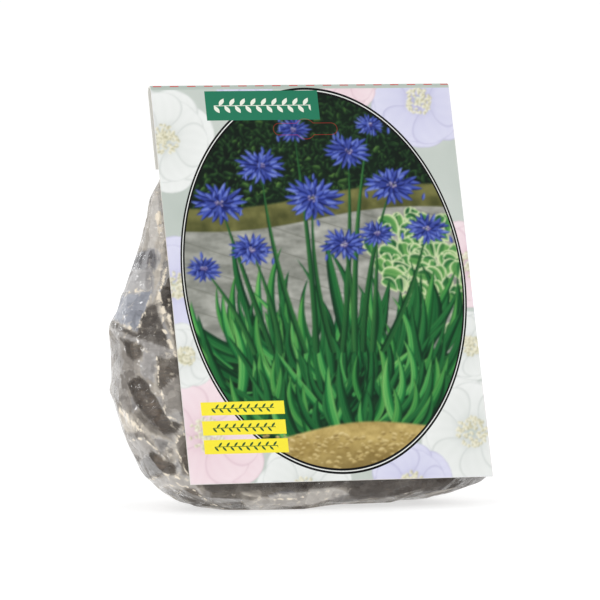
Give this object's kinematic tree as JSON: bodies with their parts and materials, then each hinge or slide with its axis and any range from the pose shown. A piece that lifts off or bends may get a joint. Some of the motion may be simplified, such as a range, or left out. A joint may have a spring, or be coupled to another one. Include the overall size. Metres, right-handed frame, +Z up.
{
  "type": "bag of flower roots with header card",
  "caption": "Clear film bag of flower rootstocks in damp peat, standing on its foot and closed by a folded picture card that leans back.",
  "frame": {"origin": "middle of the bounding box at the bottom, on the surface the bag stands on", "axes": "+Z up, the printed face of the card towards -Y and leaning back by 20 degrees, +X to the right as the card is read"},
  "size_m": [0.1756, 0.0892, 0.1968],
  "materials": {
    "film": "thin clear film, creased, glossy, slightly hazy",
    "card": "coated board, printed in colour, slight gloss",
    "glue": "adhesive strip",
    "peat": "damp fibrous peat, matte",
    "root": "fleshy root skin, matte"
  },
  "bodies": {
    "root": {"header_card": "card", "film_bag": "film", "glue_strip_front": "glue", "glue_strip_back": "glue", "peat": "peat", "rootstock_left": "root", "rootstock_middle": "root", "rootstock_right": "root"}
  },
  "joints": []
}
